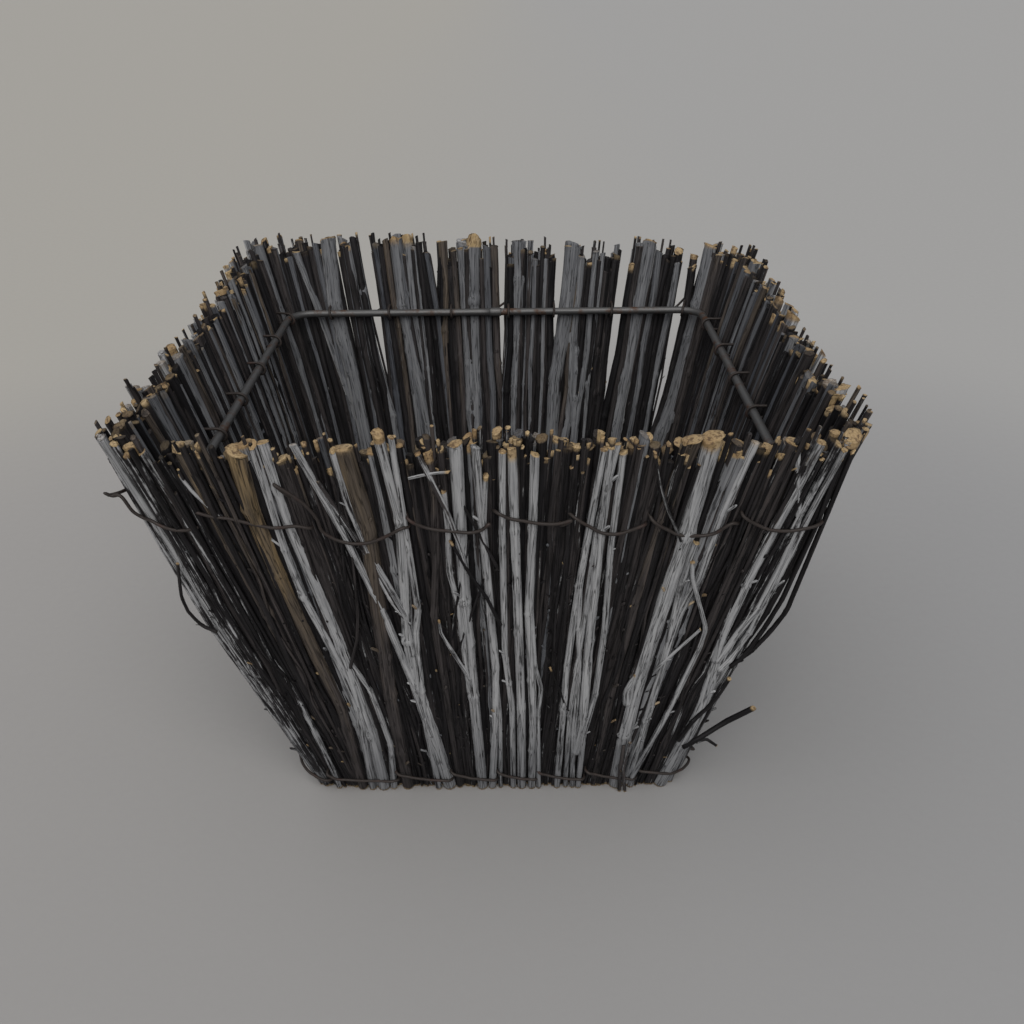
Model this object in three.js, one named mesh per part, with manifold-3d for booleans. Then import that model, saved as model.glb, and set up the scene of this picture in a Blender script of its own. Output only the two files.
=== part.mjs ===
// A square basket of sticks that flares from its foot to its rim. Pale and dark bundles of sticks
// stand side by side round two bent steel rods. One running wire at each rod lashes them to it: it
// crosses the outside of a dark and a pale bundle, dives between the sticks below the rod, turns
// up round the rod and comes out above it. The floor is three rafts of sticks, lashed in the same
// way to a cross rod that is welded to the lower frame.
// Millimetres, +Z up, front towards -Y, origin under the middle of the foot.
import * as THREE from "three";
import { mergeVertices } from "three/addons/utils/BufferGeometryUtils.js";
import Module from "manifold-3d";

const wasm = await Module();
wasm.setup();

// The basket's outside, over the sticks
const rimWidth = 203;
const footWidth = 136;
const height = 152;
const rimCornerRadius = 18;
const footCornerRadius = 14;

// Stick diameters at the foot. The butt end is up, so each is thicker at the rim. The pale bundles
// are a row of thick and medium sticks, and the dark ones are two rows of thin sticks.
const thickStick = 5;
const mediumStick = 4;
const thinStick = 3.4;
const floorStick = 7;
const buttShare = 1.2;
const rimUnevenness = 5;
const footOverrun = 2;
const floorUnevenness = 4;

// How far neighbouring sticks in one bundle press into each other, as shares of their diameters
const besideShare = 0.7;
const behindShare = 0.42;
const nearlyFullShare = 0.94;

// How the middles of the pale bundles share out the front, right, back and left, corner to corner
const spacingShares = [
  [0.19, 0.155, 0.133, 0.103, 0.127, 0.141, 0.151],
  [0.172, 0.158, 0.17, 0.165, 0.176, 0.159],
  [0.186, 0.15, 0.1, 0.132, 0.15, 0.141, 0.141],
  [0.163, 0.17, 0.166, 0.166, 0.164, 0.171],
];
const paleShare = 0.5;

// Steel
const rodDiameter = 3;
const wireDiameter = 1;
const weldDiameter = 3.4;
const weldLength = 5;
const lowerRodHeight = 8;
const upperRodDrop = 27;
const upperWireSag = 3;
const lowerWireSag = 0.6;
const tailLength = 11.5;
const tailTwistLength = 9;
const tailRiseShare = 0.4;

// Room between pieces that touch
const clearance = 0.3;

// Facets
const stickSides = 6;
const rodSides = 8;
const wireSides = 4;
const bendSteps = 4;
const cornerCrossings = 5;
const tailTwistTurns = 1.5;
const stepsInTwist = 9;

const up = new THREE.Vector3(0, 0, 1);
const { lerp } = THREE.MathUtils;

// Walls. A station tells where on the wall's outline a point is: each side has a run, which takes
// one station, and the corner after it takes the next. They go anticlockwise from the front's left
// end, so 0.5 is the middle of the front and 1.5 the front right corner. Depth is from the outside.

function outlineAt(z) {
  const half = lerp(footWidth, rimWidth, z / height) / 2;
  const radius = lerp(footCornerRadius, rimCornerRadius, z / height);
  return { run: half - radius, radius };
}

function distanceTo(z, depth, station) {
  const { run, radius } = outlineAt(z);
  const corner = ((radius - depth) * Math.PI) / 2;
  const side = Math.floor(station / 2);
  const rest = station - 2 * side;
  return side * (2 * run + corner) + Math.min(rest, 1) * 2 * run + Math.max(rest - 1, 0) * corner;
}

function stationAt(z, depth, distance) {
  const { run, radius } = outlineAt(z);
  const corner = ((radius - depth) * Math.PI) / 2;
  const side = Math.floor(distance / (2 * run + corner));
  const rest = distance - side * (2 * run + corner);
  return 2 * side + (rest < 2 * run ? rest / (2 * run) : 1 + (rest - 2 * run) / corner);
}

function wallPoint(z, depth, station) {
  const { run, radius } = outlineAt(z);
  const side = Math.floor(station / 2);
  const rest = station - 2 * side;
  const turn = (Math.max(rest - 1, 0) * Math.PI) / 2;
  const along = (2 * Math.min(rest, 1) - 1) * run + Math.sin(turn) * (radius - depth);
  const out = run + Math.cos(turn) * (radius - depth);
  return new THREE.Vector3(along, -out, z).applyAxisAngle(up, (side * Math.PI) / 2);
}

// The wall is one thick stick deep, and grows thicker with its sticks towards the rim.

function swellAt(z) {
  return lerp(1, buttShare, z / height);
}

function wallThicknessAt(z) {
  return thickStick * swellAt(z);
}

// Solids

function toSolid(geometry) {
  const bare = geometry.clone();
  bare.deleteAttribute("normal");
  bare.deleteAttribute("uv");
  const merged = mergeVertices(bare);
  return new wasm.Manifold(
    new wasm.Mesh({
      numProp: 3,
      vertProperties: merged.attributes.position.array,
      triVerts: new Uint32Array(merged.index.array),
    }),
  );
}

function joined(geometries) {
  return geometries.map(toSolid).reduce((sum, solid) => sum.add(solid));
}

function toGeometry(solid) {
  const { vertProperties, triVerts } = solid.getMesh();
  const geometry = new THREE.BufferGeometry();
  geometry.setAttribute("position", new THREE.BufferAttribute(vertProperties, 3));
  geometry.setIndex(new THREE.BufferAttribute(triVerts, 1));
  geometry.computeVertexNormals();
  return geometry;
}

const basket = new THREE.Group();

function addPiece(name, geometry, material) {
  const mesh = new THREE.Mesh(geometry, material);
  mesh.name = name;
  basket.add(mesh);
}

// A swept path takes one section at each bend, and none between.
class BentPath extends THREE.Curve {
  constructor(bends) {
    super();
    this.bends = bends;
  }

  getPoint(share) {
    const place = share * (this.bends.length - 1);
    const before = Math.min(Math.floor(place), this.bends.length - 2);
    return this.bends[before].clone().lerp(this.bends[before + 1], place - before);
  }

  getPointAt(share) {
    return this.getPoint(share);
  }

  getTangentAt(share) {
    const at = Math.round(share * (this.bends.length - 1));
    const bend = this.bends[at];
    const arriving = bend.clone().sub(this.bends[Math.max(at - 1, 0)]);
    const leaving = this.bends[Math.min(at + 1, this.bends.length - 1)].clone().sub(bend);
    return arriving.normalize().add(leaving.normalize()).normalize();
  }
}

function swept(bends, diameter, sides) {
  const corners = [];
  for (let n = 0; n < sides; n += 1) {
    const turn = (n / sides) * 2 * Math.PI;
    corners.push(new THREE.Vector2(Math.cos(turn), Math.sin(turn)).multiplyScalar(diameter / 2));
  }
  return new THREE.ExtrudeGeometry(new THREE.Shape(corners), {
    steps: bends.length - 1,
    extrudePath: new BentPath(bends),
    bevelEnabled: false,
  });
}

// Bundles of sticks. Each has a cell of the wall between two stations, and no stick leaves it.

const paleBark = new THREE.MeshStandardMaterial({ color: 0xb9b7b0, roughness: 0.85 });
const darkBark = new THREE.MeshStandardMaterial({ color: 0x2b2624, roughness: 0.8 });

// A repeatable number from 0 to 1 for each count
function chance(count) {
  const value = Math.sin(count * 12.9898) * 43758.5453;
  return value - Math.floor(value);
}

// Sticks side by side across a width, each pressed into the next. Once they nearly fill it, they
// are squeezed or spread until the last one ends where the width does.
function fillRow(width, mix) {
  const fitting = mix.filter((diameter) => diameter <= width);
  const row = [];
  while (fitting.length) {
    const radius = fitting[row.length % fitting.length] / 2;
    const last = row.at(-1);
    const centre = last ? last.centre + (last.radius + radius) * besideShare : radius;
    row.push({ radius, centre });
    if (centre + radius >= width * nearlyFullShare) break;
  }
  if (row.length < 2) return row;
  const first = row[0].centre;
  const span = row.at(-1).centre - first;
  const squeeze = (width - row.at(-1).radius - first) / span;
  return row.map(({ radius, centre }) => ({ radius, centre: first + (centre - first) * squeeze }));
}

// The end of a stick is cut level, so the stick is a leaning prism with level ends.
function stick(foot, footRadius, top, topRadius, roll) {
  const geometry = new THREE.CylinderGeometry(topRadius, footRadius, 1, stickSides);
  geometry.rotateY(roll);
  const lean = top.clone().sub(foot);
  const across = new THREE.Vector3(1, 0, 0);
  geometry.applyMatrix4(new THREE.Matrix4().makeBasis(across, lean, new THREE.Vector3(0, -1, 0)));
  const middle = foot.clone().lerp(top, 0.5);
  return geometry.translate(middle.x, middle.y, middle.z);
}

// The feet of the sticks are sawn off level together.
const ground = new THREE.BoxGeometry(rimWidth, rimWidth, height);
const sawnOff = toSolid(ground.translate(0, 0, -height / 2));

const paleRows = [{ depth: thickStick / 2, mix: [thickStick, mediumStick] }];
const darkRowDepth = thickStick - thinStick / 2;
const darkRows = [
  { depth: darkRowDepth - thinStick * behindShare, mix: [thinStick] },
  { depth: darkRowDepth, mix: [thinStick] },
];

function bundle(cell) {
  const sticks = [];
  for (const { depth, mix } of cell.rows) {
    const edges = (z) => ({
      low: distanceTo(z, depth * swellAt(z), cell.from) + cell.roomBefore,
      high: distanceTo(z, depth * swellAt(z), cell.to) - cell.roomAfter,
    });
    const foot = edges(0);
    const rim = edges(height);
    for (const { radius, centre } of fillRow(foot.high - foot.low, mix)) {
      const spare = foot.high - foot.low - 2 * radius;
      const share = spare > 0 ? (centre - radius) / spare : 0;
      const rimRadius = radius * buttShare;
      const footStation = stationAt(0, depth, foot.low + centre);
      const rimDistance = lerp(rim.low + rimRadius, rim.high - rimRadius, share);
      const rimStation = stationAt(height, depth * buttShare, rimDistance);
      const footPoint = wallPoint(0, depth, footStation);
      const rimPoint = wallPoint(height, depth * buttShare, rimStation);
      const count = cell.number * 7 + sticks.length;
      const cut = 1 - (sticks.length ? chance(count) * rimUnevenness : 0) / height;
      const start = (-footOverrun * (1 + chance(count + 0.5))) / height;
      const [low, high] = [start, cut].map((share) => footPoint.clone().lerp(rimPoint, share));
      const [lowRadius, highRadius] = [start, cut].map((share) => lerp(radius, rimRadius, share));
      const roll = (chance(count + 0.25) * 2 * Math.PI) / stickSides;
      sticks.push(stick(low, lowRadius, high, highRadius, roll));
    }
  }
  return toGeometry(joined(sticks).subtract(sawnOff));
}

// A wire passes after each pale bundle. Its two ends come out before the corner bundle that starts
// the front or the back.
const roomForWire = wireDiameter / 2 + clearance;
const sideNames = ["front", "right", "back", "left"];
const cornerNames = ["front_left", "front_right", "back_right", "back_left"];
const wireStations = [];
const cornerStations = [];

function layOutSide(side) {
  const middle = height / 2;
  const depth = wallThicknessAt(middle) / 2;
  const start = distanceTo(middle, depth, 2 * side - 0.5);
  const length = distanceTo(middle, depth, 2 * side + 1.5) - start;
  const station = (share) => stationAt(middle, depth, start + share * length);
  let centre = 0;
  spacingShares[side].forEach((spacing, n, { length: pairs }) => {
    const spacingBefore = spacingShares.flat().at(wireStations.length - 1);
    const paleFrom = station(centre - (spacingBefore * paleShare) / 2);
    const paleTo = station(centre + (spacing * paleShare) / 2);
    const darkTo = station(centre + spacing * (1 - paleShare / 2));
    centre += spacing;
    if (n === 0) cornerStations.push(paleFrom);
    wireStations.push(paleTo);
    const number = wireStations.length;
    const pale = n ? `${sideNames[side]}_pale_sticks_${n}` : `${cornerNames[side]}_corner_sticks`;
    const wireEndsBefore = n === 0 && side % 2 === 0;
    const roomBefore = wireEndsBefore ? roomForWire : clearance;
    const paleCell = { from: paleFrom, to: paleTo, roomBefore, roomAfter: roomForWire };
    addPiece(pale, bundle({ ...paleCell, rows: paleRows, number }), paleBark);
    const dark = `${sideNames[side]}_dark_sticks_${n + 1}`;
    const wireEndsAfter = n === pairs - 1 && side % 2 === 1;
    const roomAfter = wireEndsAfter ? roomForWire : clearance;
    const darkCell = { from: paleTo, to: darkTo, roomBefore: roomForWire, roomAfter };
    addPiece(dark, bundle({ ...darkCell, rows: darkRows, number: -number }), darkBark);
  });
}

for (let side = 0; side < 4; side += 1) layOutSide(side);

// Frames: each is one rod bent to a square, with its ends butt-welded in the middle of the back.

const frameSteel = new THREE.MeshStandardMaterial({ color: 0x4a4644, metalness: 0.6, roughness: 0.6 });
const upperRodHeight = height - upperRodDrop;

function rodDepthAt(z) {
  return wallThicknessAt(z) + clearance + rodDiameter / 2;
}

function frameRod(z) {
  const weldStation = 4.5;
  const point = (station) => wallPoint(z, rodDepthAt(z), station);
  const weld = point(weldStation);
  const gap = new THREE.Vector3(clearance / 2, 0, 0);
  const bends = [weld.clone().sub(gap)];
  for (let corner = 2; corner < 6; corner += 1) {
    for (let step = 0; step <= bendSteps; step += 1) {
      bends.push(point(2 * corner + 1 + step / bendSteps));
    }
  }
  bends.push(weld.clone().add(gap));
  const bead = new THREE.CylinderGeometry(weldDiameter / 2, weldDiameter / 2, weldLength, rodSides);
  bead.rotateZ(Math.PI / 2).translate(weld.x, weld.y, weld.z);
  return [swept(bends, rodDiameter, rodSides), bead];
}

// The cross rod lies on the lower frame, with its top level with the wire's turns round that frame.
const crossRodHeight = lowerRodHeight + clearance + wireDiameter;
const lowerRodReach = -wallPoint(lowerRodHeight, rodDepthAt(lowerRodHeight), 0.5).y;

function crossRod() {
  const length = 2 * lowerRodReach;
  const rod = new THREE.CylinderGeometry(rodDiameter / 2, rodDiameter / 2, length, rodSides);
  rod.rotateY(Math.PI / rodSides).rotateZ(Math.PI / 2);
  return rod.translate(0, 0, crossRodHeight);
}

const upperFrame = joined(frameRod(upperRodHeight));
const lowerFrame = joined([...frameRod(lowerRodHeight), crossRod()]);
addPiece("upper_frame_rod", toGeometry(upperFrame), frameSteel);
addPiece("lower_frame_rod", toGeometry(lowerFrame), frameSteel);

// Lashings. A wire turns round a rod with a clearance, so it clears the rod at every bend.

const lashingWire = new THREE.MeshStandardMaterial({ color: 0x3a2c25, metalness: 0.5, roughness: 0.7 });
const wireTurn = rodDiameter / 2 + clearance + wireDiameter / 2;
const wireOutside = -clearance - wireDiameter / 2;
const bendShare = Math.tan(Math.PI / 8);

// The round of a rod that a wire takes from below it to above it, as shares of the wire's turn:
// inwards and upwards
const turnShares = [
  [bendShare, -1],
  [1, -bendShare],
  [1, bendShare],
  [bendShare, 1],
];

function onCorner(station) {
  return Math.floor(station) % 2 !== 0;
}

// The wire's two ends leave the wall at a corner, side by side, and are twisted together.
function tailStrand(z, station, hand) {
  const outwards = wallPoint(z, wireOutside, Math.floor(station) + 0.5);
  outwards.setZ(0).normalize().setZ(tailRiseShare).normalize();
  const sideways = up.clone().cross(outwards).normalize();
  const over = outwards.clone().cross(sideways);
  const root = wallPoint(z, wireOutside, station);
  const apart = (wireDiameter + clearance) / 2;
  const strand = [];
  for (let step = 0; step <= stepsInTwist; step += 1) {
    const turn = (step / stepsInTwist) * tailTwistTurns * 2 * Math.PI;
    const out = tailLength - tailTwistLength * (1 - step / stepsInTwist);
    const bend = root.clone().addScaledVector(outwards, out);
    bend.addScaledVector(sideways, apart + hand * apart * Math.cos(turn));
    bend.addScaledVector(over, hand * apart * Math.sin(turn));
    strand.push(bend);
  }
  return strand;
}

function wallLashing(rodHeight, sag, firstSide) {
  const rodDepth = rodDepthAt(rodHeight);
  const high = rodHeight + wireTurn;
  const low = rodHeight - wireTurn;
  const first = spacingShares.slice(0, firstSide).flat().length;
  const ahead = wireStations.slice(first);
  const behind = wireStations.slice(0, first).map((station) => station + 8);
  const tail = cornerStations[firstSide];
  const stations = [tail, ...ahead, ...behind, tail + 8];
  const bends = tailStrand(high, tail, 1).reverse();
  for (let n = 0; n + 1 < stations.length; n += 1) {
    const here = stations[n];
    const next = stations[n + 1];
    const bendWidth = roomForWire / (distanceTo(low, 0, next) - distanceTo(low, 0, here));
    const leaving = n ? bendWidth : 3 * bendWidth;
    const bent = [here, (here + next) / 2, next].some(onCorner);
    const crossings = bent ? cornerCrossings : 2;
    for (let step = 0; step <= crossings; step += 1) {
      const share = lerp(leaving, 1 - bendWidth, step / crossings);
      const z = lerp(high, low, share) - sag * 4 * share * (1 - share);
      bends.push(wallPoint(z, wireOutside, lerp(here, next, share)));
    }
    bends.push(wallPoint(low, wireOutside + roomForWire, next));
    for (const [inwards, upwards] of turnShares) {
      const z = rodHeight + wireTurn * upwards;
      bends.push(wallPoint(z, rodDepth + wireTurn * inwards, next));
    }
    bends.push(wallPoint(high, wireOutside + roomForWire, next));
  }
  bends.push(wallPoint(high, wireOutside - roomForWire, tail));
  bends.push(...tailStrand(high, tail, -1));
  return swept(bends, wireDiameter, wireSides);
}

addPiece("upper_lashing_wire", wallLashing(upperRodHeight, upperWireSag, 0), lashingWire);
addPiece("lower_lashing_wire", wallLashing(lowerRodHeight, lowerWireSag, 2), lashingWire);

// Floor. Its sticks lie from front to back on the lower frame and the cross rod, in three rafts.

const floorNames = ["left", "middle", "right"];
const floorStickRise = (floorStick / 2) * Math.cos(Math.PI / rodSides);
const floorBottom = crossRodHeight + rodDiameter / 2 + clearance;
const floorTop = floorBottom + 2 * floorStickRise;
const wireGap = 2 * roomForWire;
const floorReach = lowerRodReach - rodDiameter / 2 - wireGap;
const raftWidth = (2 * floorReach - 2 * wireGap) / floorNames.length;

// How far a floor stick may reach before it meets the inside of the wall
function floorRoom(farEdge) {
  const { run, radius } = outlineAt(floorBottom);
  const inside = radius - wallThicknessAt(floorTop) - clearance;
  const intoCorner = Math.max(farEdge - run, 0);
  return run + Math.sqrt(Math.max(inside ** 2 - intoCorner ** 2, 0));
}

function raft(left, number) {
  const sticks = fillRow(raftWidth, [floorStick]).map(({ radius, centre }, n) => {
    const x = left + centre;
    const room = floorRoom(Math.abs(x) + radius);
    const short = [0, 1].map((end) => chance(number * 20 + n * 2 + end) * floorUnevenness);
    const length = 2 * room - short[0] - short[1];
    const lying = new THREE.CylinderGeometry(radius, radius, length, rodSides);
    lying.rotateY(Math.PI / rodSides);
    return lying.translate(x, (short[0] - short[1]) / 2, floorBottom + floorStickRise);
  });
  return toGeometry(joined(sticks));
}

floorNames.forEach((name, n) => {
  const left = -floorReach + n * (raftWidth + wireGap);
  addPiece(`floor_sticks_${name}`, raft(left, n + 1), paleBark);
});

// The floor's wire turns round the cross rod at each edge of the floor and between the rafts.
function floorLashing() {
  const passes = [0, 1, 2, 3].map((n) => -floorReach - roomForWire + n * (raftWidth + wireGap));
  const above = floorTop + clearance + wireDiameter / 2;
  const bends = [];
  passes.forEach((x, n) => {
    const side = (y, z) => bends.push(new THREE.Vector3(x, y, z));
    if (n > 0) side(wireTurn, above);
    side(wireTurn, crossRodHeight + wireTurn);
    side(wireTurn, crossRodHeight - wireTurn * bendShare);
    side(wireTurn * bendShare, crossRodHeight - wireTurn);
    side(-wireTurn * bendShare, crossRodHeight - wireTurn);
    side(-wireTurn, crossRodHeight - wireTurn * bendShare);
    side(-wireTurn, crossRodHeight + wireTurn);
    if (n + 1 < passes.length) side(-wireTurn, above);
  });
  return swept(bends, wireDiameter, wireSides);
}

addPiece("floor_lashing_wire", floorLashing(), lashingWire);

export default basket;
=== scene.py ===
import math

import bpy
import numpy as np
from mathutils import Matrix, Vector


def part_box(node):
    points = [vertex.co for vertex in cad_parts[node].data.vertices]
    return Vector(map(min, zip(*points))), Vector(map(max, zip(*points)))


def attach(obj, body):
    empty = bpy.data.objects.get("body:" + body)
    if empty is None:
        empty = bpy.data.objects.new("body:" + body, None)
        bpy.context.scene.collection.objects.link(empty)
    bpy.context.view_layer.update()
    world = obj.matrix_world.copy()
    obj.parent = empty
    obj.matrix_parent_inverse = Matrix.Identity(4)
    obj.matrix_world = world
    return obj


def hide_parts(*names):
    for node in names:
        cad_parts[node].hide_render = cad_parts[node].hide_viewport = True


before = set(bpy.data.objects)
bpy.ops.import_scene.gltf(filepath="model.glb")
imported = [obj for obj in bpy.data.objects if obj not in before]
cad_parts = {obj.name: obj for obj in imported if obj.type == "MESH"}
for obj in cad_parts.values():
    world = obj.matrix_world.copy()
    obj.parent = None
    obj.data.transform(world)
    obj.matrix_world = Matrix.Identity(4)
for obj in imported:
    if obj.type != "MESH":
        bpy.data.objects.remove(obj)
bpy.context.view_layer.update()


def placed(name, data):
    """A new object in the scene."""
    thing = bpy.data.objects.new(name, data)
    bpy.context.scene.collection.objects.link(thing)
    return thing


# Camera. A phone is held in front of the basket, above its rim and tipped down at it. It is close,
# so the rim spreads wide in the picture and the walls draw in to the foot.
camera = placed("camera", bpy.data.cameras.new("camera"))
camera.data.sensor_width = 36
camera.data.lens = 36.28
camera.data.clip_start = 0.01
camera_place = (0.0078, -0.3429, 0.2632)
tipped_down = math.radians(28.77)
turned_left = 0.004
tilted = 0.012
camera.matrix_world = (
    Matrix.Translation(camera_place)
    @ Matrix.Rotation(turned_left, 4, "Z")
    @ Matrix.Rotation(math.pi / 2 - tipped_down, 4, "X")
    @ Matrix.Rotation(-tilted, 4, "Z")
)
bpy.context.scene.camera = camera

# Frames. Each is one 3 mm steel rod bent to a square that lies against the inside of the wall, and
# its ends are butt-welded in the middle of the back. A cross rod for the floor is welded across the
# lower one. The steel is bare and dull, with rust in patches.
mm = 0.001
basket_height = 152 * mm
rim_width = 203 * mm
foot_width = 136 * mm
rim_corner = 18 * mm
foot_corner = 14 * mm
wall_thickness = 5 * mm
thicker_at_rim = 1.2
clearance = 0.3 * mm
rod_radius = 1.5 * mm
upper_rod_height = 125 * mm
lower_rod_height = 8 * mm
cross_rod_height = 9.3 * mm
fused_in = 0.4 * mm
weld_station = 4.5
weld_gap = 0.002
weld_length = 5.2 * mm
weld_height = 0.42 * mm
weld_ripple = 0.05 * mm


def outline(z):
    """Half of a wall's straight run and the radius of its corners, at a height."""
    share = z / basket_height
    radius = foot_corner + (rim_corner - foot_corner) * share
    return (foot_width + (rim_width - foot_width) * share) / 2 - radius, radius


def on_wall(z, depth, station):
    """Points at a height and a depth behind the wall's outside. Stations count 2 for each side,
    1 for its run and 1 for the corner after it, from the left end of the front."""
    z, depth, station = np.broadcast_arrays(*(np.asarray(v, float) for v in (z, depth, station)))
    run, radius = outline(z)
    side = np.floor(station / 2)
    rest = station - 2 * side
    turn = np.maximum(rest - 1, 0) * math.pi / 2
    along = (2 * np.minimum(rest, 1) - 1) * run + np.sin(turn) * (radius - depth)
    out = run + np.cos(turn) * (radius - depth)
    face = side * math.pi / 2
    x = along * np.cos(face) + out * np.sin(face)
    y = along * np.sin(face) - out * np.cos(face)
    return np.stack([x, y, z], -1)


def wall_thickness_at(z):
    return wall_thickness * (1 + (thicker_at_rim - 1) * z / basket_height)


def rod_depth(z):
    return wall_thickness_at(z) + clearance + rod_radius


def unit(vectors):
    return vectors / np.maximum(np.linalg.norm(vectors, axis=-1, keepdims=True), 1e-12)


def step_lengths(points):
    return np.linalg.norm(np.diff(points, axis=0), axis=1)


def outwards_at(stations):
    return unit(on_wall(0, 0, stations) - on_wall(0, mm, stations))


class Skin:
    """The surface of one piece, made of tubes. grain holds each point's place across and along its
    own tube. On sticks, finish holds the paint, the tone, how bare the wood is cut and the stick's own
    number, and on steel it is left at nothing."""

    def __init__(self):
        self.points, self.faces, self.grain, self.finish = [], [], [], []

    def tube(self, centres, radii, sides, across, finish=(0, 0, 0, 0), slope=None):
        centres = np.asarray(centres, float)
        count = len(centres)
        radii = np.asarray(radii, float)
        radii = np.broadcast_to(radii[:, None] if radii.ndim == 1 else radii, (count, sides))
        along = unit(np.gradient(centres, axis=0))
        sideways = np.empty_like(centres)
        carried = np.asarray(across, float)
        for n in range(count):
            carried = unit(carried - along[n] * carried.dot(along[n]))
            sideways[n] = carried
        other = np.cross(along, sideways)
        turns = np.arange(sides) / sides * 2 * math.pi
        x, y = radii * np.cos(turns), radii * np.sin(turns)
        lift = np.zeros_like(x) if slope is None else x * slope[:, :1] + y * slope[:, 1:]
        points = centres[:, None] + x[..., None] * sideways[:, None] + y[..., None] * other[:, None]
        points += lift[..., None] * along[:, None]
        points[..., 2] = np.maximum(points[..., 2], 0)
        length = np.cumsum(np.linalg.norm(np.diff(centres, axis=0, prepend=centres[:1]), axis=1))
        start = sum(len(p) for p in self.points)
        self.points.append(points.reshape(-1, 3))
        grain = np.stack([x, y, np.broadcast_to(length[:, None], x.shape)], -1)
        self.grain.append(grain.reshape(-1, 3))
        finish = np.broadcast_to(np.asarray(finish, float), (count, 4))
        self.finish.append(np.repeat(finish, sides, 0))
        ring = np.arange(sides)
        after = (ring + 1) % sides
        for n in range(count - 1):
            low, high = start + n * sides, start + (n + 1) * sides
            self.faces += np.stack([low + ring, low + after, high + after, high + ring], 1).tolist()
        self.faces.append((start + ring[::-1]).tolist())
        self.faces.append((start + (count - 1) * sides + ring).tolist())

    def make(self, name, material, slot, *nodes):
        mesh = bpy.data.meshes.new(name)
        mesh.from_pydata(np.concatenate(self.points), [], self.faces)
        for kind, values in (("grain", self.grain), ("finish", self.finish)):
            form, key = ("FLOAT_VECTOR", "vector") if kind == "grain" else ("FLOAT_COLOR", "color")
            mesh.attributes.new(kind, form, "POINT").data.foreach_set(
                key, np.concatenate(values).astype(np.float32).ravel()
            )
        mesh.polygons.foreach_set("use_smooth", [True] * len(mesh.polygons))
        mesh.materials.append(material)
        piece = placed(name, mesh)
        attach(piece, "root")
        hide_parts(*nodes)
        return piece


class Recipe:
    """A material that is mixed from nodes."""

    def __init__(self, name, **settings):
        self.material = bpy.data.materials.new(name)
        self.material.use_nodes = True
        self.tree = self.material.node_tree
        self.shader = self.tree.nodes["Principled BSDF"]
        for socket, value in settings.items():
            self.shader.inputs[socket.replace("_", " ")].default_value = value

    def node(self, kind, inputs, output=0, **settings):
        node = self.tree.nodes.new(f"ShaderNode{kind}")
        for key, value in settings.items():
            setattr(node, key, value)
        for key, value in inputs.items():
            if isinstance(value, bpy.types.NodeSocket):
                self.tree.links.new(value, node.inputs[key])
            else:
                node.inputs[key].default_value = value
        return node.outputs[output]

    def attribute(self, name, output="Vector"):
        return self.node("Attribute", {}, output, attribute_name=name)

    def maths(self, operation, *values, clamp=False):
        return self.node("Math", dict(enumerate(values)), operation=operation, use_clamp=clamp)

    def noise(self, place, scale, detail=3.0, roughness=0.55, number=None):
        inputs = {"Vector": place, "Scale": scale, "Detail": detail, "Roughness": roughness}
        if number is None:
            return self.node("TexNoise", inputs)
        return self.node("TexNoise", inputs | {"W": number}, noise_dimensions="4D")

    def stretched(self, place, *scales):
        return self.node("Mapping", {"Vector": place, "Scale": scales})

    def between(self, value, low, high, to_low=0.0, to_high=1.0):
        inputs = {"Value": value, "From Min": low, "From Max": high, "To Min": to_low, "To Max": to_high}
        return self.node("MapRange", inputs, interpolation_type="SMOOTHSTEP")

    def mix(self, share, low, high):
        """Two colours mixed. A Mix node takes them at its sockets 6 and 7, and gives a colour at 2."""
        low, high = (c if isinstance(c, bpy.types.NodeSocket) else (*c, 1) for c in (low, high))
        return self.node("Mix", {0: share, 6: low, 7: high}, 2, data_type="RGBA")

    def finish(self, colour, roughness, height, depth):
        bump = self.node("Bump", {"Height": height, "Strength": 1.0, "Distance": depth})
        self.tree.links.new(colour, self.shader.inputs["Base Color"])
        self.tree.links.new(roughness, self.shader.inputs["Roughness"])
        self.tree.links.new(bump, self.shader.inputs["Normal"])
        return self.material


def frame_steel():
    recipe = Recipe("dull_frame_steel", Metallic=0.55)
    grain = recipe.attribute("grain")
    drawn = recipe.noise(recipe.stretched(grain, 1, 1, 0.04), 1600, 4)
    rusty = recipe.between(recipe.noise(grain, 130, 5, 0.65), 0.5, 0.68)
    pits = recipe.noise(grain, 1300, 5, 0.7)
    bare = recipe.mix(drawn, (0.068, 0.068, 0.071), (0.14, 0.138, 0.135))
    rust = recipe.mix(pits, (0.045, 0.022, 0.013), (0.14, 0.066, 0.034))
    roughness = recipe.maths("ADD", recipe.maths("MULTIPLY", rusty, 0.3), 0.46)
    height = recipe.maths("ADD", drawn, recipe.maths("MULTIPLY", pits, rusty))
    return recipe.finish(recipe.mix(rusty, bare, rust), roughness, height, 0.12 * mm)


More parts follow.
